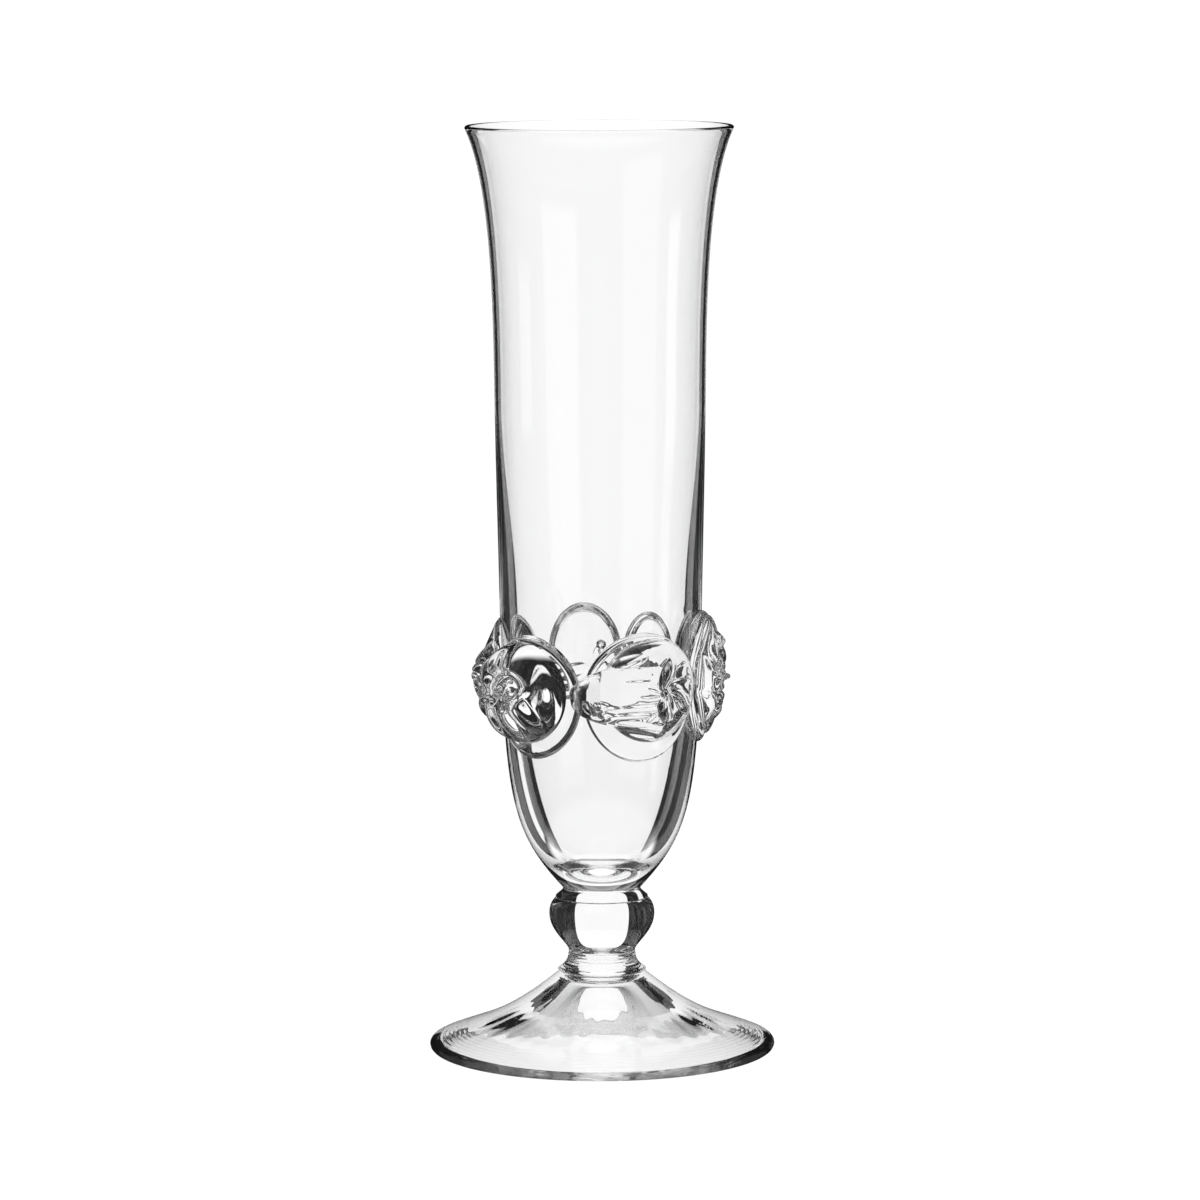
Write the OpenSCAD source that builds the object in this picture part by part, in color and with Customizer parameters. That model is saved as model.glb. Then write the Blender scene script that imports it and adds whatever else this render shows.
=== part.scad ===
// Footed bud vase in clear blown glass: a tall flared vessel on a knopped stem and a spread foot,
// with a belt of applied glass prunts around its lower body. All lengths are in millimetres.

/* [Vessel] */
// Overall height of the vase
total_h = 228; // [215:1:245]
// Outer radius of the rim
mouth_r = 32.8; // [30:0.2:35]
// Outer radius of the straight part of the tube
tube_r = 25.8; // [25.2:0.1:26.4]
// Thickness of the glass at the rim
lip_t = 1.2; // [0.8:0.1:1.5]
// Thickness of the glass in the middle of the tube
wall_t = 0.9; // [0.8:0.1:1.3]
// Thickness of the glass around the bowl
bowl_t = 3.6; // [2.6:0.1:4.2]
// Depth of solid glass under the cavity
floor_t = 4.5; // [4:0.5:7]

/* [Stem] */
// Radius of the knop
knop_r = 13; // [12.4:0.1:13.6]
// Radius of the waist between the vessel and the knop
waist_r = 9.5; // [9:0.1:10]
// Radius of the neck under the knop
neck_r = 8.2; // [7.5:0.1:8.8]

/* [Foot] */
// Radius of the foot
foot_r = 42.7; // [38:0.1:46]
// Height of the foot at its middle
foot_h = 19.3; // [18:0.1:20]
// Thickness of the foot at its edge
edge_t = 2.2; // [1.8:0.1:2.8]

/* [Prunts] */
// Height of the belt of prunts above the table
belt_z = 90.5; // [88:0.5:96]
// Thickness of the flat pad under each prunt
pad_t = 1.8; // [1.2:0.1:2.4]
// Share of its pad that each bloom covers
bloom_share = 0.84; // [0.7:0.01:0.88]

/* [Hidden] */
$fn = 96;
steps = 14;

// Heights of the stem's pieces, and the levels at which they are joined
neck_h = 5.4;
knop_h = 13;
collar_h = 2.4;
neck_z = foot_h + neck_h;
collar_z = neck_z + knop_h;
vessel_z = collar_z + collar_h;

// The vessel's bowl ends at the top of the belt, and the tube's flare starts 70 below the rim
bowl_top_z = 110;
bowl_top_r = tube_r - 0.95;
bowl_top_t = (wall_t + bowl_t) / 2;
flare_h = 70;
flare_z = total_h - flare_h;
cavity_z = vessel_z + floor_t;

// Radii of the collar over the knop and of the lip over the foot, at their edges and at their joints below
collar_r = 11.4;
collar_base_r = collar_r - 0.3;
merese_r = 10.9;
merese_base_r = merese_r - 0.6;

// The foot's flat standing ring, and the rounded top of its hollow
edge_r = edge_t / 2;
ring_w = 2.6;
ring_in_r = foot_r - edge_r - ring_w;
apex_r = 9.1;
apex_z = foot_h - 3;
apex_round = 3;
apex_turn = 49;

// Prunts: [direction around the vase, height from the belt, half width, half height, reach from the axis]
// The direction is in degrees from the front (-Y), positive towards +X.
PRUNTS = [
    [-44, -0.5, 14.8, 15.2, 37.4],
    [24, 0, 15.5, 15.9, 31.5],
    [93, 2, 15.0, 16.2, 32.4],
    [148, 4.4, 8.2, 11, 29.8],
    [191, 4.2, 10.9, 13, 30.5],
    [252, 1.3, 13.7, 15.1, 33.8],
];

// ---- outlines ----

// Points along a smooth curve from a to d, without its last point. It leaves a along the vector pull_a,
// and arrives at d from along the vector pull_d.
function curve(a, pull_a, pull_d, d) = [
    for (i = [0:steps - 1])
        let (t = i / steps, u = 1 - t)
            u * u * u * a + 3 * u * u * t * (a + pull_a) + 3 * u * t * t * (d + pull_d) + t * t * t * d
];

// Points along an arc of a circle, with both its ends
function arc(centre, r, from, to) = [
    for (i = [0:steps])
        let (angle = from + (to - from) * i / steps)
            centre + r * [cos(angle), sin(angle)]
];

// Outside of the vessel, from the stem to the rim
lip_z = total_h - lip_t / 2;
VESSEL_OUT = concat(
    curve([waist_r, vessel_z], [12.8, 14], [-0.9, -48], [bowl_top_r, bowl_top_z]),
    curve([bowl_top_r, bowl_top_z], [0.3, 16], [-0.2, -16], [tube_r, flare_z]),
    curve([tube_r, flare_z], [0.3, 19], [tube_r - mouth_r - 0.1, -15.2], [mouth_r, lip_z]),
    [[mouth_r, lip_z]]
);

// Inside of the vessel, from the rim to the middle of the cavity's floor
tube_in_r = tube_r - wall_t;
mouth_in_r = mouth_r - lip_t;
bowl_in_r = bowl_top_r - bowl_top_t;
VESSEL_IN = concat(
    curve([mouth_in_r, lip_z], [tube_in_r - mouth_in_r, -15.2], [0.2, 19], [tube_in_r, flare_z]),
    curve([tube_in_r, flare_z], [-0.3, -16], [0.4, 16], [bowl_in_r, bowl_top_z]),
    curve([bowl_in_r, bowl_top_z], [-1.2, -42], [17.9, 0], [0, cavity_z]),
    [[0, cavity_z]]
);

// Top of the foot, from under the stem to its rounded edge, then round that edge to the standing ring
edge_turn = 72;
edge_c = [foot_r - edge_r, edge_r];
edge_top = edge_c + edge_r * [cos(edge_turn), sin(edge_turn)];
FOOT_OUT = concat(
    curve([merese_base_r, foot_h], [14.5, 7.3 - foot_h], [-11.8, 4.6], edge_top),
    arc(edge_c, edge_r, edge_turn, -90)
);

// Hollow under the foot, from the standing ring up to its rounded top
apex_c = [apex_r - apex_round * sin(apex_turn), apex_z - apex_round];
FOOT_UNDER = concat(
    curve([ring_in_r, 0], [27 - ring_in_r, 5.2], [7.9, -9.1], apex_c + apex_round * [sin(apex_turn), cos(apex_turn)]),
    arc(apex_c, apex_round, 90 - apex_turn, 90),
    [[0, apex_z]]
);

module turned(outline) {
    rotate_extrude() polygon(outline);
}

// Solid body inside the vessel's outside surface, made thicker by extra
module vessel_body(extra = 0) {
    turned(concat(
        [[0, vessel_z]],
        [for (p = VESSEL_OUT) p + [extra, 0]],
        [[0, total_h]]
    ));
}

// ---- vessel and stem ----

module vessel() {
    color("aliceblue")
        turned(concat(
            [[0, vessel_z]],
            VESSEL_OUT,
            arc([mouth_r - lip_t / 2, lip_z], lip_t / 2, 0, 180),
            VESSEL_IN
        ));
}

module upper_merese() {
    color("lightsteelblue")
        turned(concat(
            [[0, collar_z], [collar_base_r, collar_z]],
            curve([collar_r, collar_z + 0.3], [-0.9, 0.8], [0.1, -0.8], [waist_r, vessel_z]),
            [[waist_r, vessel_z], [0, vessel_z]]
        ));
}

module knop() {
    widest_z = neck_z + 9;
    color("lightblue")
        turned(concat(
            [[0, neck_z]],
            curve([neck_r, neck_z], [1.2, 2.4], [0, -4.2], [knop_r, widest_z]),
            curve([knop_r, widest_z], [0, 1.7], [1.25, -0.8], [collar_base_r, collar_z]),
            [[collar_base_r, collar_z], [0, collar_z]]
        ));
}

module lower_merese() {
    color("lightsteelblue")
        turned(concat(
            [[0, foot_h], [merese_base_r, foot_h]],
            curve([merese_r, foot_h + 0.4], [-2.3, 1.5], [0, -2.2], [neck_r, neck_z]),
            [[neck_r, neck_z], [0, neck_z]]
        ));
}

module foot() {
    color("powderblue")
        turned(concat([[0, foot_h]], FOOT_OUT, FOOT_UNDER));
}

// ---- prunts ----

// Turns the local frame so that +X points out of the vase along a prunt's own direction
module at_prunt(prunt) {
    rotate([0, 0, prunt[0] - 90])
        translate([0, 0, belt_z + prunt[1]])
            children();
}

// Flat oval of glass pressed on to the vessel's wall
module prunt_pad(prunt) {
    half_w = tube_r * sin(prunt[2] / tube_r * 180 / PI);
    half_h = prunt[3];
    sides = 40;
    oval = [for (i = [0:sides - 1]) [half_h * cos(i * 360 / sides), half_w * sin(i * 360 / sides)]];
    color("skyblue")
        intersection() {
            at_prunt(prunt)
                rotate([0, 90, 0]) linear_extrude(2 * tube_r) polygon(oval);
            difference() {
                vessel_body(pad_t);
                vessel_body();
            }
        }
}

// Worked mass of glass on a pad: a domed blob, lobes turned around its middle, and a drawn-out tip
module prunt_bloom(prunt) {
    reach = prunt[4];
    dome_r = bloom_share * min(prunt[2], prunt[3]);
    buried_x = 0.7 * tube_r;
    shoulder_x = 0.92 * tube_r;
    dome_top_x = reach - 2;
    lobes = 5;
    lobe_r = 0.3 * dome_r;
    tip_h = 4;
    tip_r = 0.6;
    color("azure")
        difference() {
            at_prunt(prunt)
                rotate([0, 90, 0])
                    union() {
                        turned(concat(
                            [[0, buried_x], [dome_r, buried_x]],
                            [
                                for (i = [0:steps])
                                    let (angle = 90 * i / steps, rise = dome_top_x - shoulder_x)
                                        [dome_r * cos(angle), shoulder_x + rise * sin(angle)]
                            ]
                        ));
                        for (i = [0:lobes - 1])
                            rotate([0, 0, 10 + i * 360 / lobes])
                                translate([dome_r / 2, 0, (shoulder_x + dome_top_x) / 2])
                                    sphere(lobe_r);
                        translate([0, 0, reach - tip_h])
                            cylinder(h = tip_h, r1 = 0.8 * lobe_r, r2 = tip_r);
                    }
            vessel_body(pad_t);
        }
}

// ---- nodes ----

vessel();
upper_merese();
knop();
lower_merese();
foot();
for (i = [1:len(PRUNTS)]) {
    prunt_pad(PRUNTS[i - 1]);
    prunt_bloom(PRUNTS[i - 1]);
}
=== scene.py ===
import math

import bpy
import numpy as np
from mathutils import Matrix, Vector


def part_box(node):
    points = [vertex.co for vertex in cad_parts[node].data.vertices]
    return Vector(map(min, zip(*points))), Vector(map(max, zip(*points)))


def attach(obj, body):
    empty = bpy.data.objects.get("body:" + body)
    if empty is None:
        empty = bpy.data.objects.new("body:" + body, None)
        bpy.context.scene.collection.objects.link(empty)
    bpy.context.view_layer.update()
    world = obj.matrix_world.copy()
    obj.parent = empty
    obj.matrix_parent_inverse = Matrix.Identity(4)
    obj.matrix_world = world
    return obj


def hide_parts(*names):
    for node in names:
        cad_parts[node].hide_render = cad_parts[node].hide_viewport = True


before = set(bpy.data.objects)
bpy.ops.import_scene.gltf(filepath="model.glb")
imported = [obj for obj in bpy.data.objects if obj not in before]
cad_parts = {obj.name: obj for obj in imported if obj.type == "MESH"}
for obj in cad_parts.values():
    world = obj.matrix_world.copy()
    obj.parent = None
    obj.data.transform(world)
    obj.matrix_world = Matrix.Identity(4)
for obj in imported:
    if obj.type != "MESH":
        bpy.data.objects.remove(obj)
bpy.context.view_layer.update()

# A footed bud vase of clear blown glass. Outlines are in millimetres, as [radius, height] points, and
# directions around the vase are in degrees from the front (-Y), positive towards +X.
# Pieces that are fused on the real vase meet on faces that share their points. Those faces have the "fused"
# material, which lets light pass unbent, so that the joined pieces act on light as one body of glass.

MM = 0.001


def round_size(node):
    """Radius, lowest level and highest level of a round node, in millimetres."""
    low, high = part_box(node)
    return high[0] / MM, low[2] / MM, high[2] / MM


# ---- driving dimensions, in millimetres ----

MOUTH_R, VESSEL_Z, TOTAL_H = round_size("vessel")
COLLAR_R, COLLAR_Z, _ = round_size("upper_merese")
KNOP_R, NECK_Z, _ = round_size("knop")
MERESE_R, _, _ = round_size("lower_merese")
FOOT_R, _, FOOT_H = round_size("foot")

TUBE_R = 25.8
LIP_T = 1.2
WALL_T = 0.9
BOWL_T = 3.6
FLOOR_T = 4.5
WAIST_R = 9.5
NECK_R = 8.2
EDGE_T = 2.2
PAD_T = 1.8

BOWL_TOP_Z = 110
BOWL_TOP_R = TUBE_R - 0.95
FLARE_Z = TOTAL_H - 70
LIP_Z = TOTAL_H - LIP_T / 2
CAVITY_Z = VESSEL_Z + FLOOR_T
COLLAR_BASE_R = COLLAR_R - 0.3
MERESE_BASE_R = MERESE_R - 0.6
BELT_LOW_Z = 72
BELT_HIGH_Z = 111
BELT_Z = 90.5
EDGE_R = EDGE_T / 2
RING_W = 2.6
RING_IN_R = FOOT_R - EDGE_R - RING_W
APEX_R = 9.1
APEX_Z = FOOT_H - 3
APEX_ROUND = 3
APEX_TURN = math.radians(49)


# ---- outlines ----

def curve(a, pull_a, pull_d, d, count):
    """Points along a smooth curve, without its end d. It leaves a along pull_a and reaches d from pull_d."""
    t = np.linspace(0, 1, count, endpoint=False)[:, None]
    a, d = np.array(a, float), np.array(d, float)
    b, c = a + pull_a, d + pull_d
    return (1 - t) ** 3 * a + 3 * (1 - t) ** 2 * t * b + 3 * (1 - t) * t * t * c + t ** 3 * d


def arc(centre, radius, start, end, count):
    """Points along an arc of a circle, without its last point."""
    turn = np.radians(np.linspace(start, end, count, endpoint=False))
    return np.array(centre) + radius * np.stack([np.cos(turn), np.sin(turn)], 1)


def line(a, b, count):
    """Points along a straight line, without its last point."""
    return np.linspace(a, b, count, endpoint=False)


def vessel_outside(count):
    """The vessel's outside, from the stem up to the rim."""
    waist = [WAIST_R, VESSEL_Z]
    bowl_top = [BOWL_TOP_R, BOWL_TOP_Z]
    flare = [TUBE_R, FLARE_Z]
    return np.concatenate([
        curve(waist, [12.8, 14], [-0.9, -48], bowl_top, count),
        curve(bowl_top, [0.3, 16], [-0.2, -16], flare, count),
        curve(flare, [0.3, 19], [TUBE_R - MOUTH_R - 0.1, -15.2], [MOUTH_R, LIP_Z], count),
    ])


def vessel_inside(count):
    """The vessel's inside, from the rim down to the middle of the cavity's floor."""
    mouth = [MOUTH_R - LIP_T, LIP_Z]
    flare = [TUBE_R - WALL_T, FLARE_Z]
    bowl_top = [BOWL_TOP_R - (WALL_T + BOWL_T) / 2, BOWL_TOP_Z]
    return np.concatenate([
        curve(mouth, [flare[0] - mouth[0], -15.2], [0.2, 19], flare, count),
        curve(flare, [-0.3, -16], [0.4, 16], bowl_top, count),
        curve(bowl_top, [-1.2, -42], [17.9, 0], [0, CAVITY_Z], count),
    ])


WALL = vessel_outside(400)


def wall_radius(z):
    """Radius of the vessel's outside at a height."""
    return np.interp(z, WALL[:, 1], WALL[:, 0])


def wall_slope(z):
    """How fast that radius grows with height."""
    step = 0.5
    return (wall_radius(z + step) - wall_radius(z - step)) / (2 * step)


def on_vase(azimuth, z, radius):
    """Points in metres from directions in degrees, heights and radii in millimetres."""
    turn = np.radians(azimuth)
    return np.stack([radius * np.sin(turn), -radius * np.cos(turn), z + 0 * turn], -1) * MM


def on_wall(azimuth, z, height=0):
    """Points in metres at a height over the vessel's outside."""
    return on_vase(azimuth, z, wall_radius(z) + height)


# ---- mesh building ----

class Shell:
    """A closed mesh made of rings of points, with a material number on each face."""

    def __init__(self):
        self.points = []
        self.faces = []
        self.kinds = []
        self.normals = {}

    def ring(self, points):
        """Adds points and returns their numbers."""
        start = len(self.points)
        self.points.extend(map(tuple, points))
        return np.arange(start, start + len(points))

    def face(self, corners, kind):
        self.faces.append(tuple(int(c) for c in corners))
        self.kinds.append(kind)

    def strip(self, first, second, kind):
        """Quads between two rings of the same length."""
        for j in range(len(first)):
            k = (j + 1) % len(first)
            self.face((first[j], first[k], second[k], second[j]), kind)

    def fan(self, ring, point, kind, flip=False):
        """Triangles from a ring to one point."""
        (centre,) = self.ring([point])
        for j in range(len(ring)):
            k = (j + 1) % len(ring)
            corners = (ring[j], ring[k], centre)
            self.face(corners[::-1] if flip else corners, kind)

    def build(self, name, materials, crease=40):
        """Makes the object. Edges that turn by more than crease degrees stay sharp."""
        mesh = bpy.data.meshes.new(name)
        mesh.from_pydata(self.points, [], self.faces)
        for material in materials:
            mesh.materials.append(material)
        mesh.polygons.foreach_set("material_index", self.kinds)
        mesh.polygons.foreach_set("use_smooth", [True] * len(self.faces))
        mesh.update()
        mesh.set_sharp_from_angle(angle=math.radians(crease))
        if self.normals:
            normals = np.zeros((len(self.points), 3))
            for number, normal in self.normals.items():
                normals[number] = normal
            mesh.normals_split_custom_set_from_vertices(normals.tolist())
        piece = bpy.data.objects.new(name, mesh)
        bpy.context.scene.collection.objects.link(piece)
        return piece


def turned(name, sections, materials, worked=None):
    """A solid of revolution. sections are (outline points, material number), from the axis round to the axis.
    worked gives how far the making moved each point of a ring, outwards and upwards."""
    shell = Shell()
    outline = np.concatenate([points for points, kind in sections])
    kinds = [kind for points, kind in sections for p in points]
    rings = []
    for (r, z), kind, kind_before in zip(outline[1:-1], kinds[1:], kinds):
        free = worked and kind == SURFACE and kind_before == SURFACE
        out, up = worked(np.radians(AZIMUTHS), r, z) if free else (0, 0)
        rings.append(shell.ring(on_vase(AZIMUTHS, z + up, r + out)))
    shell.fan(rings[0], on_vase(0, outline[0][1], 0), kinds[0], flip=True)
    for first, second, kind in zip(rings, rings[1:], kinds[1:]):
        shell.strip(first, second, kind)
    shell.fan(rings[-1], on_vase(0, outline[-1][1], 0), kinds[-2])
    return shell.build(name, materials)


# ---- materials ----

class Tree:
    """Short names for building a shader's nodes."""

    def __init__(self, owner):
        owner.use_nodes = True
        self.tree = owner.node_tree
        self.tree.nodes.clear()

    def feed(self, socket, value):
        """Gives an input a plain value, or links another node's output to it."""
        if isinstance(value, bpy.types.NodeSocket):
            self.tree.links.new(value, socket)
        else:
            socket.default_value = value

    def node(self, kind, **settings):
        """Adds a node. Each setting is a property of the node, or what one of its inputs gets."""
        made = self.tree.nodes.new("ShaderNode" + kind)
        for key, value in settings.items():
            if hasattr(made, key):
                setattr(made, key, value)
            else:
                self.feed(made.inputs[key], value)
        return made

    def maths(self, operation, *values):
        """The result of one calculation on plain values or outputs."""
        made = self.node("Math", operation=operation)
        for socket, value in zip(made.inputs, values):
            self.feed(socket, value)
        return made.outputs[0]

    def graded(self, value, at_low, at_high, low=0.0, high=1.0, way="SMOOTHSTEP"):
        """Goes from low, where value is at_low, to high, where value is at_high."""
        made = self.node("MapRange", interpolation_type=way, Value=value)
        for end, number in (("From Min", at_low), ("From Max", at_high), ("To Min", low), ("To Max", high)):
            made.inputs[end].default_value = number
        return made.outputs[0]


GLASS_IOR = 1.52


def glass(name, tint, ripple, ripple_size, stretch):
    """Clear hand-blown glass: faint smears in the gloss, and slow ripples left by the blowing. ripple is
    their depth and ripple_size their width, in millimetres. stretch squeezes the pattern along each axis."""
    smears_per_metre = 90.0
    clean_below, smeared_above = 0.45, 0.75
    roughest = 0.025
    material = bpy.data.materials.new(name)
    t = Tree(material)
    position = t.node("TexCoord").outputs["Object"]
    pattern = t.node("Mapping", Vector=position, Scale=stretch).outputs[0]
    waves = t.node("TexNoise", Vector=pattern, Scale=1 / (ripple_size * MM), Detail=2.0, Roughness=0.4)
    smears = t.node("TexNoise", Vector=pattern, Scale=smears_per_metre, Detail=3.0)
    rough = t.graded(smears.outputs["Fac"], clean_below, smeared_above, 0.0, roughest, "LINEAR")
    bump = t.node("Bump", Height=waves.outputs["Fac"], Strength=1.0, Distance=ripple * MM)
    shader = t.node("BsdfPrincipled", Roughness=rough, Normal=bump.outputs[0], IOR=GLASS_IOR)
    shader.inputs["Base Color"].default_value = (*tint, 1)
    shader.inputs["Transmission Weight"].default_value = 1.0
    t.node("OutputMaterial", Surface=shader.outputs[0])
    return material


def fused_glass():
    """The inside of a hot joint between two pieces of glass: nothing to see, and light isn't bent."""
    material = bpy.data.materials.new("fused")
    t = Tree(material)
    t.node("OutputMaterial", Surface=t.node("BsdfTransparent").outputs[0])
    return material


FUSED = fused_glass()
VESSEL_GLASS = glass("vessel_glass", (0.997, 0.998, 0.998), 0.005, 16, (1, 1, 0.25))
STEM_GLASS = glass("stem_glass", (0.997, 0.998, 0.998), 0.006, 6, (1, 1, 1.5))
FOOT_GLASS = glass("foot_glass", (0.992, 0.994, 0.994), 0.012, 12, (1, 1, 1))
PRUNT_GLASS = glass("prunt_glass", (0.99, 0.99, 0.992), 0.02, 3, (1, 1, 1))
SURFACE = 0
JOINT = 1


# ---- prunts: size and place ----

def degrees_apart(angle, direction):
    """Signed difference between angles in radians and a direction in degrees, in degrees."""
    return (np.degrees(angle) - direction + 180) % 360 - 180


class Prunt:
    """One applied prunt. rise is its height over the middle of the belt, and half_w and half_h are half its
    width along the wall and half its height. Its bloom covers the share split of the pad, and its middle is
    lean away from the pad's middle. sculpt shapes the bloom, and its rings close at nub."""

    def __init__(self, number, azimuth, rise, half_w, half_h, lean, split, nub, sculpt):
        self.number = number
        self.azimuth = azimuth
        self.z = BELT_Z + rise
        self.half_w = half_w
        self.half_h = half_h
        self.lean = np.array(lean)
        self.split = split
        self.nub = np.array(nub)
        self.sculpt = sculpt

    def half_turn(self):
        """Half its width, in degrees around the vase."""
        return math.degrees(self.half_w / TUBE_R)


class Clay:
    """One ring of a bloom's free surface while it is shaped. u runs along the wall and v up it, in
    millimetres from the bloom's middle. height is over the pad. edge is 1 where the bloom meets its pad and 0
    at its nub, and turn is the direction of each point. Angles given to the methods are in degrees."""

    def __init__(self, u, v, edge, turn):
        self.u = u
        self.v = v
        self.edge = edge
        self.turn = turn
        self.shift_u = 0 * u
        self.shift_v = 0 * v
        self.height = 0 * u

    def around(self, at, size=(1, 1), angle=0):
        """Distance and direction from a point, in an oval with these half sizes turned by angle."""
        du, dv = self.u - at[0], self.v - at[1]
        c = math.cos(math.radians(angle))
        s = math.sin(math.radians(angle))
        x = (c * du + s * dv) / size[0]
        y = (-s * du + c * dv) / size[1]
        return np.hypot(x, y), np.arctan2(y, x)

    def body(self, height, fullness):
        """The blob itself. A large fullness makes it flat on top, and a fullness of 1 makes it a tent."""
        is_tent = fullness == 1
        self.height = height * (1 - self.edge ** fullness) ** (1 if is_tent else 0.5)

    def lobe(self, at, size, angle, height):
        """A round lobe that grows out of the body. The fold where they meet is blended a little."""
        blend = 0.6
        far, _ = self.around(at, size, angle)
        cap = height * np.clip(1 - far ** 2, 0, 1) ** 0.5 - height * np.clip(far - 1, 0, 1)
        meet = np.clip(blend - np.abs(cap - self.height), 0, blend)
        self.height = np.maximum(cap, self.height) + meet ** 2 / (4 * blend)

    def swell(self, at, size, angle, height):
        """A rib that rides on the surface, with a fold along each side."""
        steepness = 1.2
        far, _ = self.around(at, size, angle)
        self.height = self.height + height * np.clip(1 - far ** 2, 0, 1) ** steepness

    def folds(self, at, count, twist, reach, depth, direction=0, spread=1000):
        """Creases that run out from a point and curl round it. They start a little way from the point, are
        deepest in one direction, and fade out within spread degrees of it. A spread of 1000 leaves them
        nearly even all round."""
        start = 1.2
        far, angle = self.around(at)
        curl = angle + twist * np.log(far / reach + 0.15)
        crease = (1 - np.abs(np.sin(curl * count / 2))) ** 2
        ring = np.clip(far / start, 0, 1) * np.exp(-(far / reach) ** 2)
        off = degrees_apart(angle, direction)
        self.height = self.height - depth * crease * ring * np.exp(-(off / spread) ** 2)

    def groove(self, start, end, width, depth):
        """A furrow along a line, fading towards its ends."""
        line_u = end[0] - start[0]
        line_v = end[1] - start[1]
        along = ((self.u - start[0]) * line_u + (self.v - start[1]) * line_v) / (line_u ** 2 + line_v ** 2)
        inside = np.clip(along, 0, 1)
        away = np.hypot(self.u - start[0] - inside * line_u, self.v - start[1] - inside * line_v)
        self.height = self.height - depth * np.exp(-(away / width) ** 2) * np.sin(np.pi * inside) ** 0.5

    def overhang(self, direction, spread, amount):
        """Swells the outer half of one side of the bloom past its foot, towards a direction in degrees."""
        off = degrees_apart(self.turn, direction)
        inwards = min(1, 2 * (1 - self.edge))
        swell = amount * np.exp(-(off / spread) ** 2) * math.sin(math.pi * inwards)
        self.move(swell * math.cos(math.radians(direction)), swell * math.sin(math.radians(direction)))

    def move(self, du, dv):
        self.u = self.u + du
        self.v = self.v + dv
        self.shift_u = self.shift_u + du
        self.shift_v = self.shift_v + dv

    def roll_over(self, start, end, radius, height, lift):
        """A fat round-ended roll of glass from start out to end, along u. Its end reaches past the bloom's
        foot. So the rings run out under it first, lift above the pad, and then come back over it. middle is
        1 along the roll's middle line and 0 at its sides. beyond is how far a point has to go to pass the
        roll's end. It grows over the first millimetres from the bloom's middle, and a point that has a few to
        go hangs free of the pad."""
        under_share, back_share = 0.12, 0.5
        grows_over, hangs_from = 4, 3
        side = np.sign(end[0] - start[0])
        level = self.v - end[1]
        middle = np.clip(1 - (level / radius) ** 2, 0, 1)
        beyond = np.clip(side * (end[0] - self.u) + radius * middle ** 0.5, 0, None)
        beyond = beyond * middle ** 0.4 * np.clip(side * self.u / grows_over, 0, 1)
        inwards = 1 - self.edge
        out = min(1, inwards / under_share)
        back = min(1, max(0, (inwards - under_share) / back_share))
        self.move(side * beyond * math.sin(out * math.pi / 2) * (1 - back) ** 1.5, 0)
        past = np.clip(side * (self.u - end[0]), 0, None) / (radius * np.maximum(middle, 0.01) ** 0.5)
        short = np.clip(side * (start[0] - self.u), 0, None) / radius
        share = middle * np.clip(1 - past ** 2, 0, 1) ** 0.5 * np.clip(1 - short ** 2, 0, 1) ** 2
        hung = np.clip(beyond / hangs_from, 0, 1) * (1 - back) * middle
        self.height = self.height * (1 - hung) + lift * hung * out
        if out == 1:
            self.height = self.height + share * (height - self.height)

    def nub(self, at, radius, height, pinch=0):
        """The twisted-off tip where the gather was cut from its iron, with a hollow pinched round it."""
        twist_h = 0.12
        pinch_r = 1.35 * radius
        pinch_w = 0.45 * radius
        far, angle = self.around(at)
        self.height = self.height - pinch * np.exp(-((far - pinch_r) / pinch_w) ** 2)
        stalk = height * np.clip(1 - (far / radius) ** 3, 0, 1) ** 0.5
        twist = twist_h * np.cos(3 * angle + 2 * far) * (stalk > 0.5)
        self.height = np.maximum(self.height, stalk + twist)


def sculpt_1(clay):
    """A tall swirl of ribs round a thick stub, leaning a little to one side."""
    clay.overhang(20, 50, 1.0)
    clay.body(8.6, 2.0)
    clay.swell((4.8, -3.8), (7.2, 2.6), -64, 1.7)
    clay.swell((0.8, -6.2), (6.6, 2.2), -76, 1.6)
    clay.swell((-3.4, -6.0), (6.4, 2.0), -94, 1.5)
    clay.swell((-6.8, -3.4), (6.0, 2.0), -122, 1.5)
    clay.swell((-6.0, 5.0), (6.4, 2.2), 130, 1.2)
    clay.swell((4.2, 1.0), (2.8, 1.4), 25, 1.1)
    clay.folds((0.6, 1.8), 5, 1.0, 5.0, 1.0, -150, 100)
    clay.groove((-1.4, 11.0), (-0.2, 4.2), 0.6, 0.7)
    clay.nub((0.6, 1.8), 2.5, 9.8, 2.0)


def sculpt_2(clay):
    """A low blob with ribs round its tip, and a fat roll that hangs out past it on the left."""
    clay.body(4.8, 2.8)
    clay.roll_over((-3.0, -1.0), (-12.2, -1.0), 7.2, 6.0, 0.8)
    clay.swell((-6.6, 7.6), (4.6, 1.5), 20, 0.8)
    clay.swell((1.8, 4.0), (3.8, 1.8), 66, 1.5)
    clay.swell((1.4, -4.6), (3.6, 1.7), -66, 1.5)
    clay.swell((5.8, -2.6), (5.4, 1.8), -58, 1.3)
    clay.swell((4.6, -7.4), (5.8, 1.7), -132, 1.2)
    clay.swell((-3.4, -8.6), (6.0, 1.4), 166, 1.0)
    clay.folds((1.1, 0.1), 11, 0.5, 5.0, 1.0, 0, 100)
    clay.folds((-15.0, -1.0), 9, 0.0, 4.5, 0.6, 180, 110)
    clay.groove((-11.5, -8.8), (0.5, -11.2), 0.5, 0.6)
    clay.groove((-12.0, -3.6), (0.0, -3.2), 0.45, 0.35)
    clay.groove((-11.0, -5.4), (-2.0, -5.2), 0.4, 0.3)
    clay.groove((-10.0, 2.6), (-2.0, 2.9), 0.5, 0.25)
    clay.nub((1.1, 0.1), 1.6, 6.8)


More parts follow.
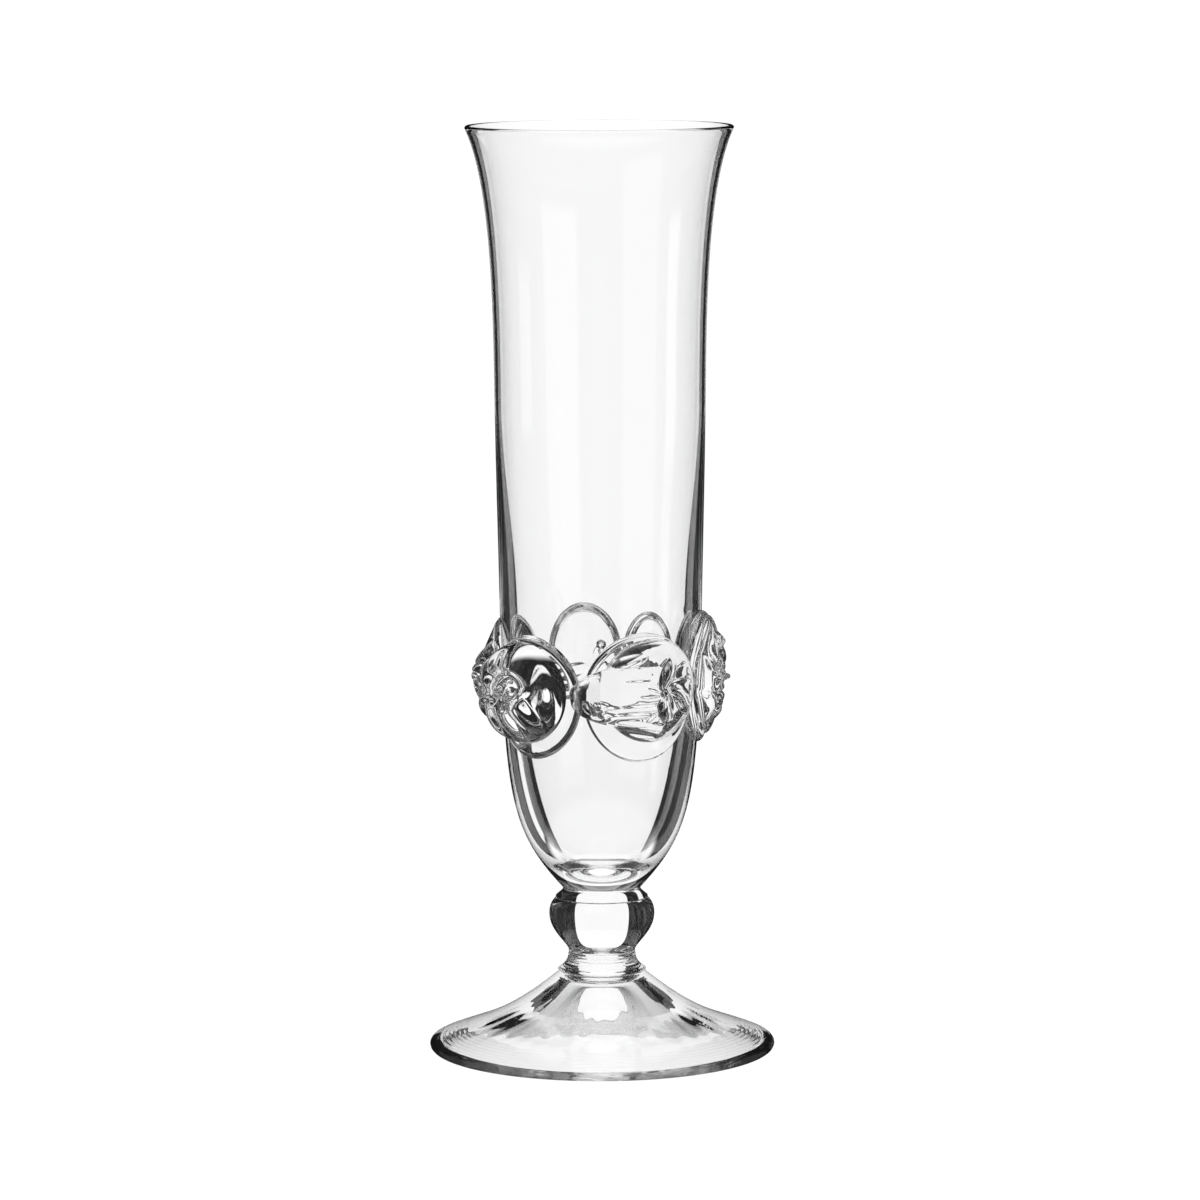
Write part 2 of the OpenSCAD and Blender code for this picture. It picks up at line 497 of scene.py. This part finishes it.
def sculpt_3(clay):
    """A low rosette, its ribs drawn in to the middle by deep folds."""
    clay.body(3.4, 1.9)
    clay.swell((-3.6, 3.8), (7.0, 2.4), 48, 1.5)
    clay.swell((-5.4, -3.2), (7.0, 2.6), -60, 1.6)
    clay.swell((3.8, 4.8), (6.6, 2.6), 130, 1.5)
    clay.swell((5.0, -4.2), (7.0, 2.4), 60, 1.6)
    clay.swell((0.4, -8.4), (6.0, 2.0), 12, 1.2)
    clay.swell((-0.6, 9.0), (6.0, 1.8), -14, 1.0)
    clay.swell((3.6, 0.4), (4.4, 1.6), 12, 1.1)
    clay.swell((-3.8, 0.2), (4.0, 1.5), 172, 1.1)
    clay.folds((0, -0.6), 9, 0.5, 10.0, 1.7)
    clay.nub((0, -0.6), 1.3, 5.6, 0.6)


def sculpt_4(clay):
    """A small flat patch with two lobes below its tip."""
    clay.body(2.8, 4.5)
    clay.lobe((1.6, -4.8), (4.6, 2.0), 150, 3.8)
    clay.lobe((-2.8, -5.0), (4.4, 1.8), 60, 3.6)
    clay.folds((-0.6, -2.6), 7, 0.8, 3.2, 0.7, -90, 70)
    clay.nub((-0.6, -2.6), 1.4, 4.2)


def sculpt_5(clay):
    """A flat patch with three lobes beside and below its tip."""
    clay.body(3.2, 4.5)
    clay.lobe((1.8, -4.8), (6.6, 2.6), 170, 4.4)
    clay.lobe((-5.4, -3.4), (4.8, 2.0), 70, 4.0)
    clay.lobe((-0.4, -9.0), (6.2, 2.0), 185, 3.8)
    clay.folds((-5.0, 1.6), 7, 0.8, 4.5, 0.8, -60, 60)
    clay.nub((-5.0, 1.6), 1.5, 4.6)


def sculpt_6(clay):
    """A cone with ribs down its sides."""
    clay.body(6.0, 1.0)
    clay.swell((6.4, 4.6), (6.4, 2.2), 60, 1.6)
    clay.swell((6.6, -4.6), (6.4, 2.2), -58, 1.6)
    clay.swell((-2.6, 5.8), (7.0, 2.4), 120, 1.5)
    clay.swell((-4.0, -4.8), (7.4, 2.4), 60, 1.5)
    clay.swell((1.6, -8.6), (5.2, 1.8), 100, 1.2)
    clay.folds((3.0, 0.4), 8, 0.7, 6.0, 0.9)
    clay.nub((3.0, 0.4), 1.6, 6.0)


PRUNTS = [
    Prunt(1, -44, -0.5, 14.8, 15.2, (-0.8, 1.2), 0.82, (0.6, 1.8), sculpt_1),
    Prunt(2, 24, 0, 15.5, 15.9, (1.4, 1.9), 0.80, (1.1, 0.1), sculpt_2),
    Prunt(3, 93, 2, 15.0, 16.2, (0.0, 0.4), 0.90, (0, -0.6), sculpt_3),
    Prunt(4, 148, 4.4, 8.2, 11, (0.0, 0.2), 0.86, (-0.6, -2.6), sculpt_4),
    Prunt(5, 191, 4.2, 10.9, 13, (0.0, 0.2), 0.88, (-5.0, 1.6), sculpt_5),
    Prunt(6, 252, 1.3, 13.7, 15.1, (0.4, 0.2), 0.90, (3.0, 0.4), sculpt_6),
]
# Mesh columns round the vase, rows up a cell's side, and rings on the fused faces and between cell and pad
COLUMNS_PER_DEGREE = 1.0
FEWEST_COLUMNS = 8
SIDE_ROWS = 52
SHARED_RINGS = 6
GAP_RINGS = 5


def wedge_edges():
    """Directions halfway between neighbouring prunts, one before each prunt and one after the last."""
    edges = []
    for before, after in zip(PRUNTS[-1:] + PRUNTS[:-1], PRUNTS):
        turn = 360 if before is PRUNTS[-1] else 0
        end = before.azimuth + before.half_turn() - turn
        edges.append((end + after.azimuth - after.half_turn()) / 2)
    return edges + [edges[0] + 360]


EDGES = wedge_edges()
COLUMNS = [max(FEWEST_COLUMNS, round((b - a) * COLUMNS_PER_DEGREE)) for a, b in zip(EDGES, EDGES[1:])]
AZIMUTHS = np.concatenate([
    np.linspace(a, b, n, endpoint=False)
    for a, b, n in zip(EDGES, EDGES[1:], COLUMNS)
])


def frame_of(prunt):
    """The belt's cell around a prunt: directions and heights of the points along its four sides, in
    order from its lower left corner."""
    i = prunt.number - 1
    left, right, count = EDGES[i], EDGES[i + 1], COLUMNS[i]
    along = np.linspace(left, right, count, endpoint=False)
    up = np.linspace(BELT_LOW_Z, BELT_HIGH_Z, SIDE_ROWS, endpoint=False)
    back = np.linspace(right, left, count, endpoint=False)
    down = np.linspace(BELT_HIGH_Z, BELT_LOW_Z, SIDE_ROWS, endpoint=False)
    azimuth = np.concatenate([along, np.full(SIDE_ROWS, right), back, np.full(SIDE_ROWS, left)])
    z = np.concatenate([np.full(count, BELT_LOW_Z), up, np.full(count, BELT_HIGH_Z), down])
    return azimuth, z


def turns_of(prunt):
    """Directions from the prunt's middle to the points of its frame, in its own oval."""
    azimuth, z = frame_of(prunt)
    u = np.radians(azimuth - prunt.azimuth) * TUBE_R
    return np.arctan2((z - prunt.z) / prunt.half_h, u / prunt.half_w)


def oval(prunt, rho):
    """Directions and heights of one ring of the prunt's points. rho is 1 at its edge and 0 at its middle."""
    turn = turns_of(prunt)
    shift = min(1, (1 - rho) / (1 - prunt.split))
    u = prunt.half_w * rho * np.cos(turn) + prunt.lean[0] * shift
    v = prunt.half_h * rho * np.sin(turn) + prunt.lean[1] * shift
    return prunt.azimuth + np.degrees(u / TUBE_R), prunt.z + v


def middle_of(prunt):
    """Direction and height of the point at which the prunt's rings close."""
    azimuth, z = oval(prunt, 0.0)
    return azimuth[0], z[0]


def wall_normals(azimuth, z):
    """Outward directions of the vessel's outside."""
    turn = np.radians(azimuth)
    slope = wall_slope(z)
    length = np.sqrt(1 + slope ** 2)
    return np.stack([np.sin(turn) / length, -np.cos(turn) / length, -slope / length], -1)


# ---- vessel ----

def vessel():
    shell = Shell()
    outside = vessel_outside(40)
    clearance = 0.5
    bowl = outside[outside[:, 1] < BELT_LOW_Z - clearance]
    tube = outside[outside[:, 1] > BELT_HIGH_Z + clearance]
    belt_low = np.array([[wall_radius(BELT_LOW_Z), BELT_LOW_Z]])
    belt_high = np.array([[wall_radius(BELT_HIGH_Z), BELT_HIGH_Z]])
    rim = arc([MOUTH_R - LIP_T / 2, LIP_Z], LIP_T / 2, 0, 180, 12)
    inside = vessel_inside(40)

    def rings(outline):
        return [shell.ring(on_vase(AZIMUTHS, z, r)) for r, z in outline]

    base = rings(line([WAIST_R / 4, VESSEL_Z], [WAIST_R, VESSEL_Z], 3))
    lower = rings(np.concatenate([bowl, belt_low]))
    upper = rings(np.concatenate([belt_high, tube, rim, inside]))
    shell.fan(base[0], on_vase(0, VESSEL_Z, 0), JOINT, flip=True)
    for first, second in zip(base, base[1:] + lower[:1]):
        shell.strip(first, second, JOINT)
    for first, second in zip(lower, lower[1:]):
        shell.strip(first, second, SURFACE)
    for first, second in zip(upper, upper[1:]):
        shell.strip(first, second, SURFACE)
    shell.fan(upper[-1], on_vase(0, CAVITY_Z, 0), SURFACE)
    belt(shell, lower[-1], upper[0])
    return shell.build("vessel", [VESSEL_GLASS, FUSED])


def belt(shell, low, high):
    """The part of the vessel's outside that carries the prunts. Each has a cell with its oval in it. Normals
    are given on the free wall, so that the cells don't show."""
    first_column = np.cumsum([0] + COLUMNS)
    heights = np.linspace(BELT_LOW_Z, BELT_HIGH_Z, SIDE_ROWS + 1)[1:-1]
    sides = []
    for start, edge in zip(first_column[:-1], EDGES):
        middle = shell.ring(on_wall(np.full(len(heights), edge), heights))
        sides.append(np.concatenate([[low[start]], middle, [high[start]]]))
        for number, z in zip(middle, heights):
            shell.normals[int(number)] = wall_normals(edge, z)
    for prunt in PRUNTS:
        i = prunt.number - 1
        columns = np.arange(first_column[i], first_column[i + 1] + 1) % len(low)
        left, right = sides[i], sides[(i + 1) % len(sides)]
        outer = np.concatenate([low[columns][:-1], right[:-1], high[columns][::-1][:-1], left[::-1][:-1]])
        azimuth, z = frame_of(prunt)
        edge_azimuth, edge_z = oval(prunt, 1.0)
        for step in range(1, GAP_RINGS + 1):
            share = step / GAP_RINGS
            a = azimuth + (edge_azimuth - azimuth) * share
            h = z + (edge_z - z) * share
            inner = shell.ring(on_wall(a, h))
            shell.strip(outer, inner, SURFACE)
            for number, normal in zip(inner, wall_normals(a, h)):
                shell.normals[int(number)] = normal
            outer = inner
        for step in range(SHARED_RINGS - 1, 0, -1):
            a, h = oval(prunt, step / SHARED_RINGS)
            inner = shell.ring(on_wall(a, h))
            shell.strip(outer, inner, JOINT)
            outer = inner
        shell.fan(outer, on_wall(*middle_of(prunt)), JOINT)


# ---- prunts ----

# Width of the pad's rounded edge, and the numbers of rings on a pad's and a bloom's free surface
PAD_ROUND = 2.0
FREE_RINGS = 14
BLOOM_RINGS = 76


def pad_height(prunt, rho):
    """Height of the pad's free surface: flat, with a round edge that meets the wall steeply."""
    round_share = PAD_ROUND / prunt.half_w
    edge = np.clip((rho - 1 + round_share) / round_share, 0, 1)
    return PAD_T * np.sqrt(1 - edge ** 2)


def joint_points(prunt, step):
    """One ring of the face that the pad and the bloom share. The last step is its edge."""
    rho = prunt.split * step / SHARED_RINGS
    azimuth, z = oval(prunt, rho)
    return on_wall(azimuth, z, pad_height(prunt, rho))


def prunt_pad(prunt):
    shell = Shell()
    wall = []
    for step in range(1, SHARED_RINGS + 1):
        a, h = oval(prunt, step / SHARED_RINGS)
        wall.append(shell.ring(on_wall(a, h)))
    shell.fan(wall[0], on_wall(*middle_of(prunt)), JOINT, flip=True)
    for first, second in zip(wall, wall[1:]):
        shell.strip(first, second, JOINT)
    outer = wall[-1]
    free = 1 - (1 - prunt.split) * (1 - np.cos(np.linspace(0, np.pi / 2, FREE_RINGS + 1)))
    for rho in free[1:]:
        a, h = oval(prunt, rho)
        inner = shell.ring(on_wall(a, h, pad_height(prunt, rho)))
        shell.strip(outer, inner, SURFACE)
        outer = inner
    for step in range(SHARED_RINGS - 1, 0, -1):
        inner = shell.ring(joint_points(prunt, step))
        shell.strip(outer, inner, JOINT)
        outer = inner
    shell.fan(outer, on_wall(*middle_of(prunt), PAD_T), JOINT)
    return shell.build(f"prunt_pad_{prunt.number}", [PRUNT_GLASS, FUSED], crease=60)


def bloom_points(prunt, turn, edge):
    """One ring of the bloom's free surface, between its foot and its nub."""
    u = prunt.split * edge * prunt.half_w * np.cos(turn) + (1 - edge) * prunt.nub[0]
    v = prunt.split * edge * prunt.half_h * np.sin(turn) + (1 - edge) * prunt.nub[1]
    clay = Clay(u, v, edge, turn)
    prunt.sculpt(clay)
    u = u + clay.shift_u + prunt.lean[0]
    v = v + clay.shift_v + prunt.lean[1]
    return on_wall(prunt.azimuth + np.degrees(u / TUBE_R), prunt.z + v, PAD_T + clay.height)


def prunt_bloom(prunt):
    shell = Shell()
    turn = turns_of(prunt)
    under = [shell.ring(joint_points(prunt, step)) for step in range(1, SHARED_RINGS + 1)]
    shell.fan(under[0], on_wall(*middle_of(prunt), PAD_T), JOINT, flip=True)
    for first, second in zip(under, under[1:]):
        shell.strip(first, second, JOINT)
    outer = under[-1]
    for step in range(1, BLOOM_RINGS):
        inner = shell.ring(bloom_points(prunt, turn, math.cos(step / BLOOM_RINGS * math.pi / 2)))
        shell.strip(outer, inner, SURFACE)
        outer = inner
    shell.fan(outer, bloom_points(prunt, turn[:1], 0.0)[0], SURFACE)
    return shell.build(f"prunt_bloom_{prunt.number}", [PRUNT_GLASS, FUSED], crease=70)


# ---- stem and foot ----

def upper_merese():
    lip = [COLLAR_R, COLLAR_Z + 0.3]
    waist = [WAIST_R, VESSEL_Z]
    return turned("upper_merese", [
        (line([0, COLLAR_Z], [COLLAR_BASE_R, COLLAR_Z], 5), JOINT),
        (line([COLLAR_BASE_R, COLLAR_Z], lip, 3), SURFACE),
        (curve(lip, [-0.9, 0.8], [0.1, -0.8], waist, 16), SURFACE),
        (line(waist, [0, VESSEL_Z], 5), JOINT),
        (np.array([[0, VESSEL_Z]]), JOINT),
    ], [STEM_GLASS, FUSED])


def knop():
    neck = [NECK_R, NECK_Z]
    widest = [KNOP_R, NECK_Z + 9]
    collar = [COLLAR_BASE_R, COLLAR_Z]
    return turned("knop", [
        (line([0, NECK_Z], neck, 5), JOINT),
        (curve(neck, [1.2, 2.4], [0, -4.2], widest, 40), SURFACE),
        (curve(widest, [0, 1.7], [1.25, -0.8], collar, 24), SURFACE),
        (line(collar, [0, COLLAR_Z], 5), JOINT),
        (np.array([[0, COLLAR_Z]]), JOINT),
    ], [STEM_GLASS, FUSED])


def lower_merese():
    lip = [MERESE_R, FOOT_H + 0.4]
    neck = [NECK_R, NECK_Z]
    return turned("lower_merese", [
        (line([0, FOOT_H], [MERESE_BASE_R, FOOT_H], 5), JOINT),
        (line([MERESE_BASE_R, FOOT_H], lip, 3), SURFACE),
        (curve(lip, [-2.3, 1.5], [0, -2.2], neck, 60), SURFACE),
        (line(neck, [0, NECK_Z], 5), JOINT),
        (np.array([[0, NECK_Z]]), JOINT),
    ], [STEM_GLASS, FUSED], tool_rings)


def tool_rings(turn, r, z):
    """Fine rings that the maker's tools left where the neck flares."""
    depth, spacing = 0.06, 0.8
    return depth * np.sin(2 * np.pi * z / spacing + 0.3 * np.sin(2 * turn)), 0


def foot_marks(turn, r, z):
    """The foot has fine rings on and near its edge, and its hollow is a little uneven, as it was opened by
    hand. Each kind of mark fades in over a few millimetres."""
    edge_spacing, edge_depth = 0.62, 0.03
    top_spacing, top_depth = 1.1, 0.025
    top_start = 33
    wave_depth = 0.02
    if r > FOOT_R - EDGE_T:
        streaks = np.sin(2 * np.pi * (z / edge_spacing + 0.5 * np.sin(4 * turn) + 0.3 * np.sin(11 * turn)))
        return edge_depth * (streaks - 1) * np.clip(z / 0.4, 0, 1), 0
    if z > between_faces(r):
        lines = np.sin(2 * np.pi * (r / top_spacing + 0.2 * np.sin(3 * turn) + 0.1 * np.sin(7 * turn + 1)))
        return 0, top_depth * lines * np.clip((r - top_start) / 4, 0, 1)
    inside = np.clip((RING_IN_R - 2 - r) / 6, 0, 1) * np.clip((r - APEX_R) / 4, 0, 1)
    wave = np.sin(5 * turn) + 0.3 * np.sin(23 * turn - 0.2 * r) + 0.3 * np.sin(37 * turn + 0.3 * r)
    return 0, wave_depth * inside * wave


def between_faces(r):
    """A level between the foot's top and its underside."""
    return np.interp(r, [APEX_R, 20, RING_IN_R, FOOT_R], [APEX_Z + 1, 9.5, 1.6, 1.0])


def foot():
    edge_turn = 72
    edge_end = math.radians(edge_turn)
    edge_c = np.array([FOOT_R - EDGE_R, EDGE_R])
    edge_top = edge_c + EDGE_R * np.array([math.cos(edge_end), math.sin(edge_end)])
    apex_c = np.array([APEX_R - APEX_ROUND * math.sin(APEX_TURN), APEX_Z - APEX_ROUND])
    apex_edge = apex_c + APEX_ROUND * np.array([math.sin(APEX_TURN), math.cos(APEX_TURN)])
    ring = [RING_IN_R, 0]
    stem = [MERESE_BASE_R, FOOT_H]
    under = curve(apex_edge, [7.9, -9.1], [27 - RING_IN_R, 5.2], ring, 90)
    top = curve(edge_top, [-11.8, 4.6], [14.5, 7.3 - FOOT_H], stem, 110)
    return turned("foot", [
        (line([0, APEX_Z], [apex_c[0], APEX_Z], 6), SURFACE),
        (arc(apex_c, APEX_ROUND, 90, 90 - math.degrees(APEX_TURN), 14), SURFACE),
        (under, SURFACE),
        (line(ring, [FOOT_R - EDGE_R, 0], 4), SURFACE),
        (arc(edge_c, EDGE_R, -90, edge_turn, 60), SURFACE),
        (top, SURFACE),
        (line(stem, [0, FOOT_H], 5), JOINT),
        (np.array([[0, FOOT_H]]), JOINT),
    ], [FOOT_GLASS, FUSED], foot_marks)


# ---- stage, light and camera ----

# Brightness of what is around the vase: all of it as the camera and the floor see it, the panels and the
# card seen through the glass, the strips and the front reflected by the glass, and the dim rest of the room
WHITE = 1.12
BEHIND = 1.1
BESIDE = 0.24
IN_FRONT = 0.15
DIM = 0.014


def sheet(name, corners, material):
    """A flat four-cornered piece of the stage."""
    mesh = bpy.data.meshes.new(name)
    mesh.from_pydata(corners, [], [(0, 1, 2, 3)])
    mesh.materials.append(material)
    piece = bpy.data.objects.new(name, mesh)
    bpy.context.scene.collection.objects.link(piece)
    return piece


def floor():
    """A pale floor just under the vase. The glass doesn't see it."""
    side = 20.0
    below = -0.0002
    material = bpy.data.materials.new("floor_pale")
    t = Tree(material)
    shader = t.node("BsdfDiffuse", Color=(0.93, 0.93, 0.93, 1))
    t.node("OutputMaterial", Surface=shader.outputs[0])
    corners = [(-side, -side, below), (side, -side, below), (side, side, below), (-side, side, below)]
    piece = sheet("floor", corners, material)
    piece.visible_transmission = False
    piece.visible_glossy = False


def card():
    """The white card behind the vase, a little darker at the level of the bowl and below. Only light that
    comes through the glass sees it."""
    behind = 150 * MM
    half_w = 55 * MM
    low = -150 * MM
    high = 236 * MM
    low_share = 0.94
    material = bpy.data.materials.new("card_white")
    t = Tree(material)
    height = t.node("SeparateXYZ", Vector=t.node("TexCoord").outputs["Object"]).outputs["Z"]
    level = t.graded(height, 65 * MM, 105 * MM, BEHIND * low_share, BEHIND)
    shader = t.node("Emission", Strength=level)
    t.node("OutputMaterial", Surface=shader.outputs[0])
    material.cycles.emission_sampling = "NONE"
    corners = [(-half_w, behind, low), (half_w, behind, low), (half_w, behind, high), (-half_w, behind, high)]
    piece = sheet("card", corners, material)
    piece.visible_camera = False
    piece.visible_diffuse = False
    piece.visible_glossy = False
    piece.visible_shadow = False


def studio():
    """Bright-field light, so that clear glass shows dark edges. Light that leaves through the glass sees pale
    panels in a dim room, light reflected off it sees a strip at each side and a dim back, and all other light
    sees an even white. Directions are in degrees from the back of the vase (+Y), positive towards +X."""
    world = bpy.data.worlds.new("studio")
    bpy.context.scene.world = world
    t = Tree(world)
    direction = t.node("TexCoord").outputs["Generated"]
    x, y, z = t.node("SeparateXYZ", Vector=direction).outputs
    azimuth = t.maths("DEGREES", t.maths("ARCTAN2", x, y))
    elevation = t.maths("DEGREES", t.maths("ARCSINE", z))

    def panel(centre, half, low, high, level):
        """A soft-edged panel. It reaches half degrees to each side of its centre, and from low to high
        elevation. level is its brightness, as a share of the brightest."""
        soft = 1.5
        off = t.maths("ABSOLUTE", t.maths("WRAP", t.maths("SUBTRACT", azimuth, centre), 180, -180))
        across = t.graded(off, half + soft, half - soft)
        above = t.graded(elevation, low - soft, low + soft)
        below = t.graded(elevation, high + soft, high - soft)
        inside = t.maths("MULTIPLY", across, t.maths("MULTIPLY", above, below))
        return t.maths("MULTIPLY", inside, level)

    def choose(path, value, otherwise):
        """value for light on the given kind of path, and otherwise for the rest."""
        return t.node("Mix", Factor=paths.outputs[path], A=otherwise, B=value).outputs[0]

    table_light = t.graded(elevation, -34, -42)
    ceiling_light = t.maths("MULTIPLY", t.graded(elevation, 55, 75), 0.7)
    seen = panel(-90, 8, -9, 6, 1.0)
    for other in (
        panel(-45, 6, -34, -16, 1.0),
        panel(135, 20, -30, 10, 0.65),
        table_light,
        ceiling_light,
    ):
        seen = t.maths("MAXIMUM", seen, other)
    seen = t.maths("ADD", t.maths("MULTIPLY", seen, BEHIND - DIM), DIM)

    away = t.maths("ABSOLUTE", azimuth)
    strips = t.maths("MULTIPLY", t.graded(away, 48, 56), t.graded(away, 80, 70))
    level = t.maths("ADD", IN_FRONT, t.maths("MULTIPLY", strips, BESIDE - IN_FRONT))
    not_back = t.graded(away, 38, 44)
    mirrored = t.maths("ADD", DIM, t.maths("MULTIPLY", not_back, t.maths("SUBTRACT", level, DIM)))

    paths = t.node("LightPath")
    strength = choose("Is Transmission Ray", seen, choose("Is Glossy Ray", mirrored, WHITE))
    back = t.node("Background", Color=(1, 1, 1, 1), Strength=strength)
    t.node("OutputWorld", Surface=back.outputs[0])


def camera():
    """A long lens from the front, a little above the vase and aimed at its middle."""
    distance = 1.369
    elevation = math.radians(7.22)
    roll = math.radians(0.196)
    target = np.array([0.0004, 0, 0.4893 * TOTAL_H * MM])
    data = bpy.data.cameras.new("camera")
    data.lens = 167.1
    data.sensor_width = 36
    data.clip_start = 0.05
    data.clip_end = 100
    piece = bpy.data.objects.new("camera", data)
    bpy.context.scene.collection.objects.link(piece)
    piece.location = target + distance * np.array([0, -math.cos(elevation), math.sin(elevation)])
    piece.rotation_euler = (math.pi / 2 - elevation, roll, 0)
    bpy.context.scene.camera = piece


def light_paths():
    """Enough bounces for light to cross every wall of the glass, and plain colours."""
    cycles = bpy.context.scene.cycles
    cycles.max_bounces = 32
    cycles.transmission_bounces = 32
    cycles.glossy_bounces = 16
    cycles.transparent_max_bounces = 48
    bpy.context.scene.view_settings.view_transform = "Standard"


def place(piece, node):
    """Puts a piece in its node's place. The glass casts no shadow on the floor."""
    piece.visible_shadow = False
    piece.visible_diffuse = False
    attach(piece, "root")
    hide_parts(node)


camera()
light_paths()
studio()
card()
floor()
place(vessel(), "vessel")
place(upper_merese(), "upper_merese")
place(knop(), "knop")
place(lower_merese(), "lower_merese")
place(foot(), "foot")
for prunt in PRUNTS:
    place(prunt_pad(prunt), f"prunt_pad_{prunt.number}")
    place(prunt_bloom(prunt), f"prunt_bloom_{prunt.number}")
